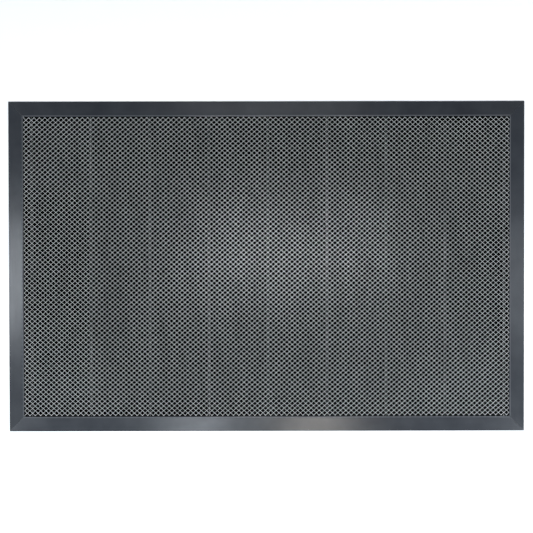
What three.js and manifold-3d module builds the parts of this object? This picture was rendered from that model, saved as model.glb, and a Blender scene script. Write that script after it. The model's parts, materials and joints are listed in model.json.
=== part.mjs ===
// Scraper door mat: bands of zigzag-web mesh on a backing sheet, framed by four bevelled edging
// strips with welded mitres. Millimetres, +Z up, +X along the long side. The origin is on the floor
// under the middle of the mat.
import * as THREE from "three";
import { mergeVertices } from "three/addons/utils/BufferGeometryUtils.js";
import Module from "manifold-3d";

const wasm = await Module();
wasm.setup();

// ---- Driving dimensions ----

// The whole mat, over its edging
const matLength = 900;
const matWidth = 576;

// Backing sheet and mesh
const backingThickness = 1.6;
const meshHeight = 4.6;

// Edging strip, across its section
const edgingWidth = 26.4;
const toeHeight = 1.3;
const toeChamfer = 0.5;
const lipRise = 0.4; // how far the lip stands above the mesh
const lipRadius = 1.1;
const lipLand = 1.4;
const rampDip = 0.35; // how far the ramp ends below the lip
const flangeReach = 12;
const flangeThickness = 0.8;

// Mesh bands: a whole band is a number of diamond cells wide
const cellPitch = 9.35;
const cellsPerBand = 11;
const seamOffset = 2.5; // the middle seam, from the mat's centre line
const seamThickness = 0.9;
const seamDrop = 0.6; // how far a seam web stays below the mesh's top

// Corner weld
const weldThickness = 1.0;
const weldCrown = 0.2;

// Gap kept beside a piece that is cut or turned to fit its neighbour
const fitGap = 0.3;

// Smoothness of the lip's rounding
const lipSteps = 4;

// ---- Materials ----

const edgingVinyl = { color: 0x2b2e33, roughness: 0.42, metalness: 0 };
const weldVinyl = { color: 0x3a3d42, roughness: 0.35, metalness: 0 };
const meshVinyl = { color: 0x7d8488, roughness: 0.4, metalness: 0 };
const backingVinyl = { color: 0x0c0d0f, roughness: 0.25, metalness: 0 };

// ---- Shared places ----

const innerHalfLength = matLength / 2 - edgingWidth;
const innerHalfWidth = matWidth / 2 - edgingWidth;
const fieldHalfLength = innerHalfLength - fitGap;
const fieldHalfWidth = innerHalfWidth - fitGap;
const meshTop = backingThickness + meshHeight;
const lipHeight = meshTop + lipRise;
const bandPitch = cellPitch * cellsPerBand;

// ---- Helpers ----

function piece(name, geometry, finish) {
  const mesh = new THREE.Mesh(geometry, new THREE.MeshStandardMaterial(finish));
  mesh.name = name;
  return mesh;
}

// Extrudes a closed outline and puts each of its points where place(x, y, end) says.
// The end is 0 on the first cap and 1 on the last.
function extrudeTo(outline, place) {
  const geometry = new THREE.ExtrudeGeometry(new THREE.Shape(outline), { depth: 1, bevelEnabled: false });
  const points = geometry.getAttribute("position");
  for (let i = 0; i < points.count; i += 1) {
    points.setXYZ(i, ...place(points.getX(i), points.getY(i), points.getZ(i)));
  }
  geometry.computeVertexNormals();
  return geometry;
}

// A flat slab between two corners of its plan and two heights.
function slab(left, right, front, back, bottom, top) {
  const outline = [
    new THREE.Vector2(left, front),
    new THREE.Vector2(right, front),
    new THREE.Vector2(right, back),
    new THREE.Vector2(left, back),
  ];
  return extrudeTo(outline, (x, y, end) => [x, y, end > 0.5 ? top : bottom]);
}

function toSolid(geometry) {
  const bare = geometry.clone();
  bare.deleteAttribute("normal");
  bare.deleteAttribute("uv");
  const merged = mergeVertices(bare);
  return new wasm.Manifold(
    new wasm.Mesh({
      numProp: 3,
      vertProperties: merged.getAttribute("position").array,
      triVerts: new Uint32Array(merged.index.array),
    }),
  );
}

function toGeometry(solid) {
  const mesh = solid.getMesh();
  const geometry = new THREE.BufferGeometry();
  geometry.setAttribute("position", new THREE.BufferAttribute(mesh.vertProperties, 3));
  geometry.setIndex(new THREE.BufferAttribute(mesh.triVerts, 1));
  geometry.computeVertexNormals();
  return geometry;
}

// ---- Edging ----

// The strip's section: x is the distance in from the mat's outer edge and y is the height.
// The upper side is raised by the given crown, which a weld has and a strip hasn't.
function edgingSection(crown) {
  const outline = [
    new THREE.Vector2(0, 0),
    new THREE.Vector2(edgingWidth + flangeReach, 0),
    new THREE.Vector2(edgingWidth + flangeReach, flangeThickness),
    new THREE.Vector2(edgingWidth, flangeThickness),
  ];
  for (let i = 0; i <= lipSteps; i += 1) {
    const angle = (i / lipSteps) * (Math.PI / 2);
    outline.push(
      new THREE.Vector2(
        edgingWidth - lipRadius + lipRadius * Math.cos(angle),
        lipHeight - lipRadius + lipRadius * Math.sin(angle) + crown,
      ),
    );
  }
  outline.push(new THREE.Vector2(edgingWidth - lipRadius - lipLand, lipHeight + crown));
  outline.push(new THREE.Vector2(edgingWidth - lipRadius - 2 * lipLand, lipHeight - rampDip + crown));
  outline.push(new THREE.Vector2(toeChamfer, toeHeight + crown));
  outline.push(new THREE.Vector2(0, toeHeight - toeChamfer + crown));
  return outline;
}

// A strip runs along X at the front of a rectangle of the given length and width. Its ends are cut
// at 45 degrees, and stop short of the corner's diagonal by half a weld and the gap beside it.
function edgingStrip(length, width) {
  const mitreSetback = (weldThickness / 2 + fitGap) * Math.SQRT2;
  return extrudeTo(edgingSection(0), (inward, height, end) => {
    const reach = length / 2 - inward - mitreSetback;
    return [end > 0.5 ? reach : -reach, inward - width / 2, height];
  });
}

// A weld lies on a corner's diagonal, with the corner at the origin and its length along +X. Its
// outer end is blunt, where its two sides reach the mat's edges.
function cornerWeld() {
  const bluntEnd = weldThickness / 2;
  return extrudeTo(edgingSection(weldCrown), (inward, height, end) => [
    Math.max(inward * Math.SQRT2, bluntEnd),
    (0.5 - end) * weldThickness,
    height,
  ]);
}

function edging() {
  const frame = new THREE.Group();
  const sides = [
    { name: "edging_front", length: matLength, width: matWidth },
    { name: "edging_right", length: matWidth, width: matLength },
    { name: "edging_back", length: matLength, width: matWidth },
    { name: "edging_left", length: matWidth, width: matLength },
  ];
  sides.forEach((side, quarter) => {
    const strip = piece(side.name, edgingStrip(side.length, side.width), edgingVinyl);
    strip.rotation.z = (quarter * Math.PI) / 2;
    frame.add(strip);
  });
  const corners = [
    { name: "corner_weld_front_left", x: -1, y: -1 },
    { name: "corner_weld_front_right", x: 1, y: -1 },
    { name: "corner_weld_back_right", x: 1, y: 1 },
    { name: "corner_weld_back_left", x: -1, y: 1 },
  ];
  corners.forEach((corner) => {
    const weld = piece(corner.name, cornerWeld(), weldVinyl);
    weld.position.set((corner.x * matLength) / 2, (corner.y * matWidth) / 2, 0);
    weld.rotation.z = Math.atan2(-corner.y, -corner.x);
    frame.add(weld);
  });
  return frame;
}

// ---- Backing sheet ----

// The sheet lies on the floor, and a rebate round its underside takes the edging's flange.
function backingSheet() {
  const rim = slab(
    -fieldHalfLength,
    fieldHalfLength,
    -fieldHalfWidth,
    fieldHalfWidth,
    flangeThickness,
    backingThickness,
  );
  const core = slab(
    -fieldHalfLength + flangeReach,
    fieldHalfLength - flangeReach,
    -fieldHalfWidth + flangeReach,
    fieldHalfWidth - flangeReach,
    0,
    backingThickness,
  );
  return piece("backing_sheet", toGeometry(toSolid(rim).add(toSolid(core))), backingVinyl);
}

// ---- Mesh bands and the seam webs between them ----

// Seams repeat every band from the middle one. One that would cut off less than a quarter of a cell
// is left out.
function seamPlaces() {
  const limit = fieldHalfLength - cellPitch / 4;
  const first = Math.ceil((-limit - seamOffset) / bandPitch);
  const last = Math.floor((limit - seamOffset) / bandPitch);
  const places = [];
  for (let band = first; band <= last; band += 1) {
    places.push(seamOffset + band * bandPitch);
  }
  return places;
}

function meshField() {
  const field = new THREE.Group();
  const seams = seamPlaces();
  seams.forEach((x, i) => {
    const web = slab(
      x - seamThickness / 2,
      x + seamThickness / 2,
      -fieldHalfWidth,
      fieldHalfWidth,
      backingThickness,
      meshTop - seamDrop,
    );
    field.add(piece("seam_web_" + (i + 1), web, meshVinyl));
  });
  const lefts = [-fieldHalfLength, ...seams.map((x) => x + seamThickness / 2)];
  const rights = [...seams.map((x) => x - seamThickness / 2), fieldHalfLength];
  lefts.forEach((left, i) => {
    const band = slab(left, rights[i], -fieldHalfWidth, fieldHalfWidth, backingThickness, meshTop);
    field.add(piece("mesh_band_" + String(i + 1).padStart(2, "0"), band, meshVinyl));
  });
  return field;
}

// ---- The mat ----

const mat = new THREE.Group();
mat.add(edging());
mat.add(backingSheet());
mat.add(meshField());

export default mat;
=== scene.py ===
"""Scraper door mat: zigzag-web mesh on a glossy backing sheet, framed by bevelled edging strips."""

import json
import math

import bmesh
import bpy
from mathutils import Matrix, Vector

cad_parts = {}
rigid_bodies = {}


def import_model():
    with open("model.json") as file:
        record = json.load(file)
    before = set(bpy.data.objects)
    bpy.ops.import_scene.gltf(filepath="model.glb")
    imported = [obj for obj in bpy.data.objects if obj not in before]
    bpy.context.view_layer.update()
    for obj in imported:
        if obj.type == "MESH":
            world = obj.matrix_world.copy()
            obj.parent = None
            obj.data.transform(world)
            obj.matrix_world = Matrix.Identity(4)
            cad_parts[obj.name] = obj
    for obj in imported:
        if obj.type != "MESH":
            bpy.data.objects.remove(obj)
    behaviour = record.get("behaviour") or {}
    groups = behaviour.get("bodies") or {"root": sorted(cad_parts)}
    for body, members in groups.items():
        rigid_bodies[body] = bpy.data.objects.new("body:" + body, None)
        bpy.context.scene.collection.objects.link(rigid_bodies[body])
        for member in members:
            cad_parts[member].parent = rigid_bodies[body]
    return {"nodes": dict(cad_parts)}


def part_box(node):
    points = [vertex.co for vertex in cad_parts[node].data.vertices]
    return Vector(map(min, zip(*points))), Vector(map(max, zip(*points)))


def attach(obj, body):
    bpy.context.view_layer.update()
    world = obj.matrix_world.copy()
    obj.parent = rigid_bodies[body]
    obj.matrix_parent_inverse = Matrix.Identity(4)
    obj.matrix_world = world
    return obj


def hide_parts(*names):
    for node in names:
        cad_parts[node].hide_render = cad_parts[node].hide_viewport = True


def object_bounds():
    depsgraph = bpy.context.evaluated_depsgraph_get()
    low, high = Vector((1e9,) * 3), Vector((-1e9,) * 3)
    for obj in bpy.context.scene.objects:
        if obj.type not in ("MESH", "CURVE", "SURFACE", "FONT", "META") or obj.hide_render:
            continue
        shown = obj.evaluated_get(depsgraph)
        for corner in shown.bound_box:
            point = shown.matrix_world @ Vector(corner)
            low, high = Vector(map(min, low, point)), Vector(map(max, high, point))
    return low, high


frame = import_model()
cad_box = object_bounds()

MM = 0.001
TINY = 0.001 * MM  # two places nearer than this are the same
MERGE_DISTANCE = 0.01 * MM

# ---- Sizes and places taken from the frame ----

mat_low, mat_high = cad_box
backing_low, backing_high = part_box("backing_sheet")
MESH_BANDS = sorted(name for name in frame["nodes"] if name.startswith("mesh_band_"))
SEAM_WEBS = sorted(name for name in frame["nodes"] if name.startswith("seam_web_"))
EDGINGS = ["edging_front", "edging_right", "edging_back", "edging_left"]
CORNERS = {
    "corner_weld_front_left": (-1, -1),
    "corner_weld_front_right": (1, -1),
    "corner_weld_back_right": (1, 1),
    "corner_weld_back_left": (-1, 1),
}

FIT_GAP = 0.3 * MM  # between the edging and what it frames
MESH_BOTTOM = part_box(MESH_BANDS[0])[0].z
MESH_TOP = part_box(MESH_BANDS[0])[1].z
LIP_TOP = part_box("edging_front")[1].z
EDGING_WIDTH = backing_low.y - FIT_GAP - mat_low.y
FLANGE_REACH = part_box("edging_front")[1].y - mat_low.y - EDGING_WIDTH

# ---- The zigzag web ----

CELLS_PER_BAND = 11
BAND_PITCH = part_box(SEAM_WEBS[1])[0].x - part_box(SEAM_WEBS[0])[0].x
CELL_PITCH = BAND_PITCH / CELLS_PER_BAND
STRAND_PITCH = CELL_PITCH / 2
WAVES = 64  # enough to reach past both ends of the mesh
WAVE_LENGTH = 8.24 * MM
STRAND_THICKNESS = 0.78 * MM  # across the mat
CREST_FUSION = 0.15 * MM  # how far two touching crests run into each other
SWING = STRAND_PITCH - STRAND_THICKNESS + CREST_FUSION  # from a left crest to a right one
CREST_FLAT = 0.2 * MM
CREST_ROUNDING = 0.3 * MM
FLANK_LEAN = math.radians(0.8)  # tilt of a flank's top, across the mat
CREST_DIP = 0.08 * MM  # how much lower the back of a crest is than its front
WEB_SETBACK = 1.1 * MM  # gap between the ends of the strands and the backing's edge

# ---- Seam webs ----

SEAM_THICKNESS = 0.6 * MM
SEAM_DROP = 0.6 * MM  # how far a seam web stays below the top of its node
SEAM_FOOT = 1 * MM  # the height up to which a seam web's foot is pressed flat again

# ---- Backing sheet and edging ----

BACKING_ROUNDING = 0.15 * MM
FLANGE_THICKNESS = 0.8 * MM
TOE_HEIGHT = 1.3 * MM
TOE_ROUNDING = 0.45 * MM
LIP_WIDTH = 1.6 * MM
LIP_ROUNDING = 0.6 * MM
RAMP_ROUNDING = 0.3 * MM
MITRE_SETBACK = 0.5 * MM
LONG_EDGE = 0.1  # only edges that run along a strip are longer than this
BROAD_FACE = 0.001  # square metres: the ramp, the lip and the flat sides

# ---- Corner welds ----

WELD_THICKNESS = 0.9 * MM
WELD_START = 0.5 * MM  # the outer end, from the mat's corner
WELD_CROWN = 0.15 * MM  # how far the bead stands above the edging
WELD_TOE = 1.45 * MM  # the bead's height at the mat's corner
WELD_FALL = LIP_TOP - 1.4 * MM  # how far its top falls towards the corner, past the level part
WELD_LEVEL = 4 * MM  # the level part of the bead's top, at its inner end
WELD_ROUNDING = 0.3 * MM

# ---- Shading and unevenness ----

STRAND_SMOOTHING = 2  # degrees: a strand's faces stay flat, so each catches the light by itself
ROUND_SMOOTHING = 40
WIDE_WAVER, FINE_WAVER = 0.03, 0.006  # sizes of a waver's swells
SEAM_WAVER, SEAM_SWELL = 0.01, 0.12
NOISE_LOW, NOISE_HIGH = 0.3, 0.7  # the range that most of a noise lies in


# ---- Modelling helpers ----


def use_object(obj):
    """Makes one object the only selected and active one."""
    bpy.ops.object.select_all(action="DESELECT")
    obj.select_set(True)
    bpy.context.view_layer.objects.active = obj


def add_block(name, low, high):
    """Adds a block between two corners, with its place in its mesh."""
    low, high = Vector(low), Vector(high)
    bpy.ops.object.select_all(action="DESELECT")
    bpy.ops.mesh.primitive_cube_add(size=1, location=(low + high) / 2, scale=high - low)
    block = bpy.context.active_object
    block.name = name
    block.data.name = name
    bpy.ops.object.transform_apply(location=True, rotation=True, scale=True)
    return block


def start_edit(obj, mode="FACE"):
    use_object(obj)
    bpy.ops.object.mode_set(mode="EDIT")
    bpy.ops.mesh.select_mode(type=mode)
    bpy.ops.mesh.select_all(action="DESELECT")


def end_edit():
    bpy.ops.object.mode_set(mode="OBJECT")


def pick(obj, kind, test):
    """Selects the vertices, edges or faces of the edited mesh that pass a test, and no others."""
    bpy.ops.mesh.select_all(action="DESELECT")
    mesh = bmesh.from_edit_mesh(obj.data)
    for item in getattr(mesh, kind):
        if test(item):
            item.select_set(True)
    mesh.select_flush_mode()
    bmesh.update_edit_mesh(obj.data)


def facing(direction):
    """A test for faces whose normal points along a direction."""
    direction = Vector(direction)
    return lambda face: face.normal.dot(direction) > 0.98


def extrude(offset):
    bpy.ops.mesh.extrude_region_move(TRANSFORM_OT_translate={"value": offset})


def bevel(width, segments):
    bpy.ops.mesh.bevel(offset=width, segments=segments, affect="EDGES")


def cut_across(point, normal, **after):
    """Cuts the whole edited mesh by a plane. The operator needs a normal of length 1."""
    bpy.ops.mesh.select_all(action="SELECT")
    bpy.ops.mesh.bisect(plane_co=point, plane_no=Vector(normal).normalized(), **after)


def cut_away(point, outward):
    """Cuts the edited mesh by a plane, drops what lies outward of it, and closes the cut."""
    cut_across(point, outward, use_fill=True, clear_outer=True)


def turn_upright(angle):
    """Turns the selection about the Z axis, anticlockwise seen from above."""
    bpy.ops.transform.rotate(value=-angle, orient_axis="Z", center_override=(0, 0, 0))


def apply_modifiers(obj):
    use_object(obj)
    for modifier in list(obj.modifiers):
        bpy.ops.object.modifier_apply(modifier=modifier.name)


def add_array(obj, count, offset, merge=False):
    array = obj.modifiers.new("repeat", "ARRAY")
    array.count = count
    array.use_relative_offset = False
    array.use_constant_offset = True
    array.constant_offset_displace = offset
    array.use_merge_vertices = merge
    array.merge_threshold = MERGE_DISTANCE


def cloud_texture(name, size):
    texture = bpy.data.textures.new(name, "CLOUDS")
    texture.noise_scale = size
    texture.noise_depth = 1
    return texture


def add_waver(obj, texture, direction, amount):
    """Pushes the mesh gently to and fro along one axis, following a cloud pattern."""
    waver = obj.modifiers.new("waver", "DISPLACE")
    waver.texture = texture
    waver.texture_coords = "LOCAL"
    waver.direction = direction
    waver.mid_level = 0.5
    waver.strength = amount


def smooth_by_angle(obj, degrees):
    use_object(obj)
    bpy.ops.object.shade_smooth_by_angle(angle=math.radians(degrees))


def copy_piece(obj, name):
    """A copy with its own mesh."""
    twin = obj.copy()
    twin.data = obj.data.copy()
    twin.name = name
    twin.data.name = name
    bpy.context.scene.collection.objects.link(twin)
    return twin


def move_mesh(obj, offset):
    """Moves the mesh, not the object."""
    start_edit(obj)
    bpy.ops.mesh.select_all(action="SELECT")
    bpy.ops.transform.translate(value=offset)
    end_edit()


def finish_piece(obj, material, node):
    obj.data.materials.clear()
    obj.data.materials.append(material)
    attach(obj, "root")
    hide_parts(node)


# ---- Materials ----


def node_material(name):
    material = bpy.data.materials.new(name)
    material.use_nodes = True
    nodes = material.node_tree.nodes
    links = material.node_tree.links
    return material, nodes, links, nodes["Principled BSDF"]


def object_noise(nodes, links, scale, stretch=(1, 1, 1)):
    """A noise on Object coordinates, stretched along the axes."""
    place = nodes.new("ShaderNodeTexCoord")
    mapping = nodes.new("ShaderNodeMapping")
    mapping.inputs["Scale"].default_value = stretch
    noise = nodes.new("ShaderNodeTexNoise")
    noise.inputs["Scale"].default_value = scale
    noise.inputs["Detail"].default_value = 3
    links.new(place.outputs["Object"], mapping.inputs["Vector"])
    links.new(mapping.outputs["Vector"], noise.inputs["Vector"])
    return noise


def ramp(nodes, links, source, low, high):
    """Spreads a noise's middle range between two colours."""
    blend = nodes.new("ShaderNodeValToRGB")
    blend.color_ramp.elements[0].position = NOISE_LOW
    blend.color_ramp.elements[0].color = (*low, 1)
    blend.color_ramp.elements[1].position = NOISE_HIGH
    blend.color_ramp.elements[1].color = (*high, 1)
    links.new(source.outputs["Fac"], blend.inputs["Fac"])
    return blend


def vary_roughness(nodes, links, shader, source, low, high):
    """Spreads a noise's middle range between two roughnesses."""
    change = nodes.new("ShaderNodeMapRange")
    change.inputs["From Min"].default_value = NOISE_LOW
    change.inputs["From Max"].default_value = NOISE_HIGH
    change.inputs["To Min"].default_value = low
    change.inputs["To Max"].default_value = high
    links.new(source.outputs["Fac"], change.inputs["Value"])
    links.new(change.outputs["Result"], shader.inputs["Roughness"])


def add_bump(nodes, links, shader, source, strength, depth):
    bump = nodes.new("ShaderNodeBump")
    bump.inputs["Strength"].default_value = strength
    bump.inputs["Distance"].default_value = depth
    links.new(source.outputs["Fac"], bump.inputs["Height"])
    links.new(bump.outputs["Normal"], shader.inputs["Normal"])


def blend_by_height(nodes, links, shader, colour, other, colour_height, other_height):
    """Turns a colour into another one between two heights, as the shader's base colour."""
    place = nodes.new("ShaderNodeTexCoord")
    axes = nodes.new("ShaderNodeSeparateXYZ")
    change = nodes.new("ShaderNodeMapRange")
    change.interpolation_type = "SMOOTHSTEP"
    change.inputs["From Min"].default_value = colour_height
    change.inputs["From Max"].default_value = other_height
    mix = nodes.new("ShaderNodeMixRGB")
    mix.inputs["Color2"].default_value = (*other, 1)
    links.new(place.outputs["Object"], axes.inputs["Vector"])
    links.new(axes.outputs["Z"], change.inputs["Value"])
    links.new(change.outputs["Result"], mix.inputs["Fac"])
    links.new(colour.outputs["Color"], mix.inputs["Color1"])
    links.new(mix.outputs["Color"], shader.inputs["Base Color"])


def web_vinyl():
    """Grey soft vinyl, a little paler or darker from place to place, with painted shade that
    darkens it towards its foot, deep in the cells.
    """
    material, nodes, links, shader = node_material("web_vinyl")
    tone = object_noise(nodes, links, 60, (1, 0.25, 1))
    colour = ramp(nodes, links, tone, (0.42, 0.428, 0.43), (0.52, 0.53, 0.532))
    # Painted shade: the strands turn near black over the lower part of their height, standing in
    # for the shade deep in the cells.
    painted_foot_shade = (0.008, 0.009, 0.01)
    blend_by_height(nodes, links, shader, colour, painted_foot_shade, MESH_TOP, MESH_TOP - 1.7 * MM)
    haze = object_noise(nodes, links, 400)
    vary_roughness(nodes, links, shader, haze, 0.12, 0.18)
    shader.inputs["Specular IOR Level"].default_value = 0.9
    return material


def edging_vinyl(name, stretch):
    """Dark extruded vinyl with fine drag lines along its length, and a painted highlight that makes
    its lip paler.
    """
    material, nodes, links, shader = node_material(name)
    lines = object_noise(nodes, links, 900, stretch)
    tone = object_noise(nodes, links, 25)
    colour = ramp(nodes, links, tone, (0.021, 0.024, 0.03), (0.03, 0.034, 0.04))
    # Painted highlight: the top of the lip is made paler, standing in for the light that its
    # rounding catches.
    painted_lip_highlight = (0.07, 0.075, 0.083)
    blend_by_height(nodes, links, shader, colour, painted_lip_highlight, LIP_TOP - 0.15 * MM, LIP_TOP)
    vary_roughness(nodes, links, shader, lines, 0.15, 0.2)
    add_bump(nodes, links, shader, lines, 0.12, 0.05 * MM)
    return material


def weld_vinyl():
    """The same vinyl, melted and uneven."""
    material, nodes, links, shader = node_material("weld_vinyl")
    tone = object_noise(nodes, links, 300)
    colour = ramp(nodes, links, tone, (0.018, 0.02, 0.025), (0.028, 0.03, 0.036))
    links.new(colour.outputs["Color"], shader.inputs["Base Color"])
    shader.inputs["Roughness"].default_value = 0.35
    shader.inputs["Specular IOR Level"].default_value = 0.3
    add_bump(nodes, links, shader, tone, 0.4, 0.1 * MM)
    return material


def backing_vinyl():
    """Glossy black sheet, slightly uneven, with a greyer underside."""
    material, nodes, links, shader = node_material("backing_vinyl")
    tone = object_noise(nodes, links, 120)
    colour = ramp(nodes, links, tone, (0.002, 0.0023, 0.0026), (0.004, 0.0044, 0.0048))
    under = (0.018, 0.019, 0.021)
    blend_by_height(nodes, links, shader, colour, under, MESH_BOTTOM, MESH_BOTTOM - 0.2 * MM)
    vary_roughness(nodes, links, shader, tone, 0.22, 0.28)
    shader.inputs["Specular IOR Level"].default_value = 0.03
    return material


def floor_paper():
    material, _, _, shader = node_material("pale_floor")
    shader.inputs["Base Color"].default_value = (0.93, 0.93, 0.93, 1)
    shader.inputs["Roughness"].default_value = 0.9
    return material


# ---- Mesh bands ----


def zigzag_steps():
    """Sideways and forward steps of a strand from one left crest to just before the next."""
    flank = WAVE_LENGTH / 2 - CREST_FLAT - 2 * CREST_ROUNDING
    slope = SWING / (flank + CREST_ROUNDING)
    turn = (slope * CREST_ROUNDING / 2, CREST_ROUNDING)
    run = (slope * flank, flank)
    going = [turn, run, turn]
    back = [(-side, forward) for side, forward in going]
    return going + [(0, CREST_FLAT)] + back


def lean_tops(wave, left, right, front):
    """Tilts the top of the edited wave: its flanks a little sideways, its crests to the back."""
    reach = CREST_FLAT / 2 + CREST_ROUNDING
    at_flat = CREST_FLAT / 2 / reach
    inset = (right - left) * CREST_ROUNDING / 2 / (WAVE_LENGTH / 2 - CREST_FLAT - CREST_ROUNDING)
    first_crest = front + CREST_FLAT / 2
    middle_crest = first_crest + WAVE_LENGTH / 2
    last_crest = first_crest + WAVE_LENGTH
    # Where the strand is, at which crest, and how far before or past it as a share of the reach
    sections = [
        (left, first_crest, -at_flat),
        (left, first_crest, at_flat),
        (left + inset, first_crest, 1),
        (right - inset, middle_crest, -1),
        (right, middle_crest, -at_flat),
        (right, middle_crest, at_flat),
        (right - inset, middle_crest, 1),
        (left + inset, last_crest, -1),
        (left, last_crest, -at_flat),
    ]
    bpy.ops.mesh.select_mode(type="VERT")
    for x, crest, share in sections:
        y = crest + share * reach
        turn = share if x < -STRAND_PITCH / 2 else -share
        pick(wave, "verts", lambda v: v.co.z > MESH_TOP - FIT_GAP and abs(v.co.y - y) < TINY)
        bpy.ops.transform.rotate(
            value=turn * FLANK_LEAN, orient_axis="Y", center_override=(x, y, MESH_TOP)
        )
        bpy.ops.transform.translate(value=(0, 0, -share * CREST_DIP / 2))


def strand_wave():
    """One wave of a strand, left of the plane x = 0 that it touches, from the front edge on."""
    left = -(STRAND_PITCH + SWING) / 2
    front = -WAVES / 2 * WAVE_LENGTH - CREST_FLAT / 2
    back = front + WAVE_LENGTH
    wave = add_block(
        "strand",
        (left - STRAND_THICKNESS / 2, front, MESH_BOTTOM),
        (left + STRAND_THICKNESS / 2, front + CREST_FLAT, MESH_TOP),
    )
    start_edit(wave)
    pick(wave, "faces", facing((0, 1, 0)))
    for side, forward in zigzag_steps():
        extrude((side, forward, 0))
    lean_tops(wave, left, left + SWING, front)

    def is_end(face):
        return any(all(abs(v.co.y - y) < TINY for v in face.verts) for y in (front, back))

    bpy.ops.mesh.select_mode(type="FACE")
    pick(wave, "faces", is_end)
    bpy.ops.mesh.delete(type="FACE")
    end_edit()
    return wave


def mesh_band():
    """A whole band: strands in mirrored pairs, fused crest to crest, cut square at both ends."""
    band = strand_wave()
    add_array(band, WAVES + 1, (0, WAVE_LENGTH, 0), merge=True)
    pair = band.modifiers.new("pair", "MIRROR")
    pair.use_axis = (True, False, False)
    pair.use_mirror_merge = False
    add_array(band, CELLS_PER_BAND, (CELL_PITCH, 0, 0))
    apply_modifiers(band)
    start_edit(band)
    cut_away((0, backing_low.y + WEB_SETBACK, 0), (0, -1, 0))
    cut_away((0, backing_high.y - WEB_SETBACK, 0), (0, 1, 0))
    end_edit()
    return band


def drop_strands(band, low, high):
    """Deletes every strand that has a point past either side."""
    start_edit(band, "VERT")
    pick(band, "verts", lambda v: not low < v.co.x < high)
    bpy.ops.mesh.select_linked()
    bpy.ops.mesh.delete(type="VERT")
    end_edit()


def make_mesh(material):
    waver_wide = cloud_texture("strand_waver", WIDE_WAVER)
    waver_fine = cloud_texture("strand_unevenness", FINE_WAVER)
    whole = mesh_band()
    first_seam = (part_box(SEAM_WEBS[0])[0].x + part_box(SEAM_WEBS[0])[1].x) / 2
    for number, node in enumerate(MESH_BANDS):
        band = copy_piece(whole, "web_" + node)
        move_mesh(band, (first_seam + (number - 1) * BAND_PITCH + STRAND_PITCH, 0, 0))
        if node in (MESH_BANDS[0], MESH_BANDS[-1]):
            side = backing_high.x + FIT_GAP / 2
            drop_strands(band, -side, side)
        else:
            low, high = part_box(node)
            drop_strands(band, low.x - CELL_PITCH / 4, high.x + CELL_PITCH / 4)
        add_waver(band, waver_wide, "X", 0.5 * MM)
        add_waver(band, waver_fine, "Y", 0.3 * MM)
        add_waver(band, waver_fine, "Z", 0.15 * MM)
        apply_modifiers(band)
        smooth_by_angle(band, STRAND_SMOOTHING)
        finish_piece(band, material, node)
    bpy.data.objects.remove(whole)


def make_seams(material):
    """A thin upright web along each seam, with a softly rounded top."""
    unevenness = cloud_texture("seam_unevenness", SEAM_WAVER)
    swell = cloud_texture("seam_swell", SEAM_SWELL)
    for node in SEAM_WEBS:
        low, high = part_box(node)
        middle = (low.x + high.x) / 2
        top = high.z - SEAM_DROP
        web = add_block(
            "web_" + node,
            (middle - SEAM_THICKNESS / 2, low.y, low.z),
            (middle + SEAM_THICKNESS / 2, high.y, top),
        )
        start_edit(web, "EDGE")
        pick(web, "edges", lambda e: all(v.co.z > top - TINY for v in e.verts))
        bevel(SEAM_THICKNESS / 4, 2)
        for step in range(1, WAVES):
            cut_across((0, low.y + step * WAVE_LENGTH, 0), (0, 1, 0))
        end_edit()
        add_waver(web, unevenness, "X", 0.3 * MM)
        add_waver(web, unevenness, "Z", 0.3 * MM)
        add_waver(web, swell, "Z", 1.0 * MM)
        apply_modifiers(web)
        start_edit(web, "VERT")
        pick(web, "verts", lambda v: v.co.z < low.z + SEAM_FOOT)
        bpy.ops.transform.resize(value=(1, 1, 0), center_override=(0, 0, low.z))
        end_edit()
        smooth_by_angle(web, ROUND_SMOOTHING)
        finish_piece(web, material, node)


# ---- Backing sheet ----


def make_backing(material):
    """A sheet whose underside steps in round its edge, over the edging's flange."""
    low = Vector((backing_low.x, backing_low.y, FLANGE_THICKNESS))
    sheet = add_block("backing", low, backing_high)
    start_edit(sheet)
    pick(sheet, "faces", facing((0, 0, -1)))
    bpy.ops.mesh.inset(thickness=FLANGE_REACH, depth=0)
    extrude((0, 0, -FLANGE_THICKNESS))
    bpy.ops.mesh.select_mode(type="EDGE")
    pick(sheet, "edges", lambda e: e.calc_face_angle(0) > 1)
    bevel(BACKING_ROUNDING, 2)
    end_edit()
    smooth_by_angle(sheet, ROUND_SMOOTHING)
    finish_piece(sheet, material, "backing_sheet")


# ---- Edging ----


def is_long(edge):
    return abs(edge.verts[0].co.x - edge.verts[1].co.x) > LONG_EDGE


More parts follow.
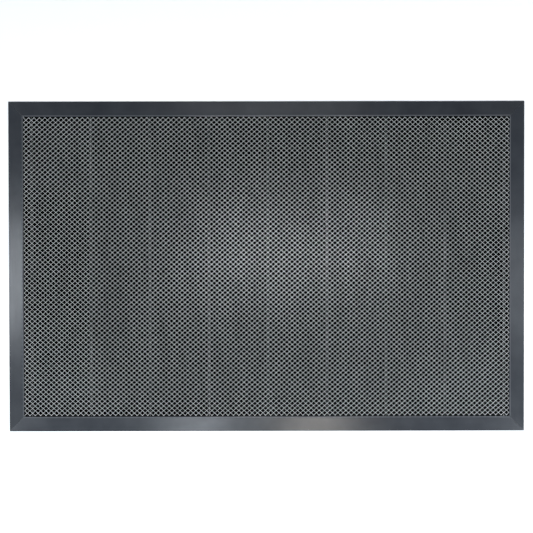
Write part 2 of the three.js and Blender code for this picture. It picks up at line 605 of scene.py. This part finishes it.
def make_strip(name, half_length, half_width):
    """A strip along the front of a rectangle of the given half sizes, with mitred ends."""
    outer = -half_width
    inner = outer + EDGING_WIDTH
    strip = add_block(name, (-half_length, outer, 0), (half_length, inner, LIP_TOP))

    def in_flange_side(face):
        return facing((0, 1, 0))(face) and face.calc_center_median().z < FLANGE_THICKNESS

    def at_top(edge):
        return is_long(edge) and all(v.co.z > LIP_TOP - TINY for v in edge.verts)

    def at_inner_top(edge):
        return at_top(edge) and all(abs(v.co.y - inner) < TINY for v in edge.verts)

    def at_toe(edge):
        return is_long(edge) and all(
            abs(v.co.y - outer) < TINY and v.co.z > TOE_HEIGHT - TINY for v in edge.verts
        )

    start_edit(strip)
    run = EDGING_WIDTH - LIP_WIDTH
    rise = LIP_TOP - TOE_HEIGHT
    cut_away((0, outer, TOE_HEIGHT), (0, -rise, run))
    cut_across((0, 0, FLANGE_THICKNESS), (0, 0, 1))
    pick(strip, "faces", in_flange_side)
    extrude((0, FLANGE_REACH, 0))
    bpy.ops.mesh.select_mode(type="EDGE")
    pick(strip, "edges", at_inner_top)
    bevel(LIP_ROUNDING, 4)
    pick(strip, "edges", at_top)
    bevel(RAMP_ROUNDING, 2)
    pick(strip, "edges", at_toe)
    bevel(TOE_ROUNDING, 3)
    for side in (-1, 1):
        cut_away((side * (half_length - MITRE_SETBACK), outer, 0), (side, 1, 0))
    pick(
        strip,
        "edges",
        lambda e: is_long(e) and any(f.calc_area() > BROAD_FACE for f in e.link_faces),
    )
    bpy.ops.mesh.mark_sharp()
    end_edit()
    smooth_by_angle(strip, ROUND_SMOOTHING)
    return strip


def make_edging():
    along_x = edging_vinyl("edging_vinyl_long", (0.02, 1, 1))
    along_y = edging_vinyl("edging_vinyl_short", (1, 0.02, 1))
    for quarter, node in enumerate(EDGINGS):
        name = "strip_" + node
        if quarter % 2 == 0:
            strip, material = make_strip(name, mat_high.x, mat_high.y), along_x
        else:
            strip, material = make_strip(name, mat_high.y, mat_high.x), along_y
        start_edit(strip)
        bpy.ops.mesh.select_all(action="SELECT")
        if quarter:
            turn_upright(quarter * math.pi / 2)
        end_edit()
        finish_piece(strip, material, node)


def make_welds(material):
    """A low bead along each corner's diagonal, made along X and then turned."""
    length = EDGING_WIDTH * math.sqrt(2)

    def runs_along_top(edge):
        first, second = (v.co for v in edge.verts)
        lengthwise = abs(first.y - second.y) < TINY < abs(first.x - second.x)
        return lengthwise and min(first.z, second.z) > TINY

    for node, (side_x, side_y) in CORNERS.items():
        bead = add_block(
            "bead_" + node,
            (WELD_START, -WELD_THICKNESS / 2, 0),
            (length, WELD_THICKNESS / 2, LIP_TOP + WELD_CROWN),
        )
        start_edit(bead)
        cut_away((0, 0, WELD_TOE), (-WELD_FALL, 0, length - WELD_LEVEL))
        bpy.ops.mesh.select_mode(type="EDGE")
        pick(bead, "edges", runs_along_top)
        bevel(WELD_ROUNDING, 2)
        bpy.ops.mesh.select_all(action="SELECT")
        turn_upright(math.atan2(-side_y, -side_x))
        bpy.ops.transform.translate(value=(side_x * mat_high.x, side_y * mat_high.y, 0))
        end_edit()
        smooth_by_angle(bead, ROUND_SMOOTHING)
        finish_piece(bead, material, node)


# ---- Floor, camera and light ----

CAMERA_HEIGHT = 2.4
CAMERA_BACK = 0.04
CAMERA_ROLL = math.radians(-0.1)
FILLED_SHARE = 0.96623  # how much of the view's width the mat takes

COOL, PLAIN, WARM = (0.88, 0.94, 1), (1, 1, 1), (1, 0.94, 0.86)
OVERHEAD_SIZE = (0.16, 0.16)
BOX_SIZE = (0.5, 0.5)


def make_floor():
    bpy.ops.object.select_all(action="DESELECT")
    bpy.ops.mesh.primitive_plane_add(size=12, location=(0, 0, 0))
    floor = bpy.context.active_object
    floor.name = "floor"
    floor.data.materials.append(floor_paper())


def make_camera():
    data = bpy.data.cameras.new("camera")
    data.sensor_width = 36
    data.lens = data.sensor_width * CAMERA_HEIGHT * FILLED_SHARE / (mat_high.x - mat_low.x)
    camera = bpy.data.objects.new("camera", data)
    camera.location = (0, CAMERA_BACK, CAMERA_HEIGHT)
    camera.rotation_euler = (math.atan2(-CAMERA_BACK, CAMERA_HEIGHT), 0, CAMERA_ROLL)
    bpy.context.scene.collection.objects.link(camera)
    bpy.context.scene.camera = camera


def add_light(name, place, size, power, colour):
    """A rectangular lamp that faces the middle of the mat."""
    data = bpy.data.lights.new(name, "AREA")
    data.shape = "RECTANGLE"
    data.size, data.size_y = size
    data.energy = power
    data.color = colour
    light = bpy.data.objects.new(name, data)
    light.location = place
    light.rotation_euler = (-Vector(place)).to_track_quat("-Z", "Y").to_euler()
    light.visible_camera = False
    bpy.context.scene.collection.objects.link(light)


def make_light():
    """Overhead lamps gleam on the mesh, boxes light its strands, windows mirror in the edging."""
    world = bpy.data.worlds.new("studio")
    world.use_nodes = True
    background = world.node_tree.nodes["Background"]
    background.inputs["Color"].default_value = (0.95, 0.98, 1, 1)
    background.inputs["Strength"].default_value = 0.1
    bpy.context.scene.world = world
    add_light("overhead_left", (-0.15, -0.08, 5), OVERHEAD_SIZE, 7.5, PLAIN)
    add_light("overhead_right", (0.39, -0.08, 5), OVERHEAD_SIZE, 7, PLAIN)
    add_light("front_left_box", (-1.05, -0.85, 1.2), BOX_SIZE, 24, COOL)
    add_light("front_right_box", (1.05, -0.85, 1.2), BOX_SIZE, 31, COOL)
    add_light("back_left_box", (-1.05, 0.85, 1.6), BOX_SIZE, 5, COOL)
    add_light("back_right_box", (1.05, 0.85, 1.6), BOX_SIZE, 4, PLAIN)
    add_light("left_window", (-2.14, -0.1, 2.4), (0.42, 0.4), 4.4, COOL)
    add_light("right_window", (2.14, -0.12, 2.4), (0.45, 0.6), 2, COOL)
    add_light("front_cool", (-0.27, -1.82, 2.4), (0.15, 0.6), 3, COOL)
    add_light("front_warm", (0.19, -1.82, 2.4), (0.15, 0.6), 3.2, WARM)
    add_light("back_window", (0, 1.72, 2.4), (0.7, 0.5), 0.9, PLAIN)


bpy.context.scene.view_settings.view_transform = "Standard"

make_camera()
make_light()
make_floor()
vinyl = web_vinyl()
make_mesh(vinyl)
make_seams(vinyl)
make_backing(backing_vinyl())
make_edging()
make_welds(weld_vinyl())
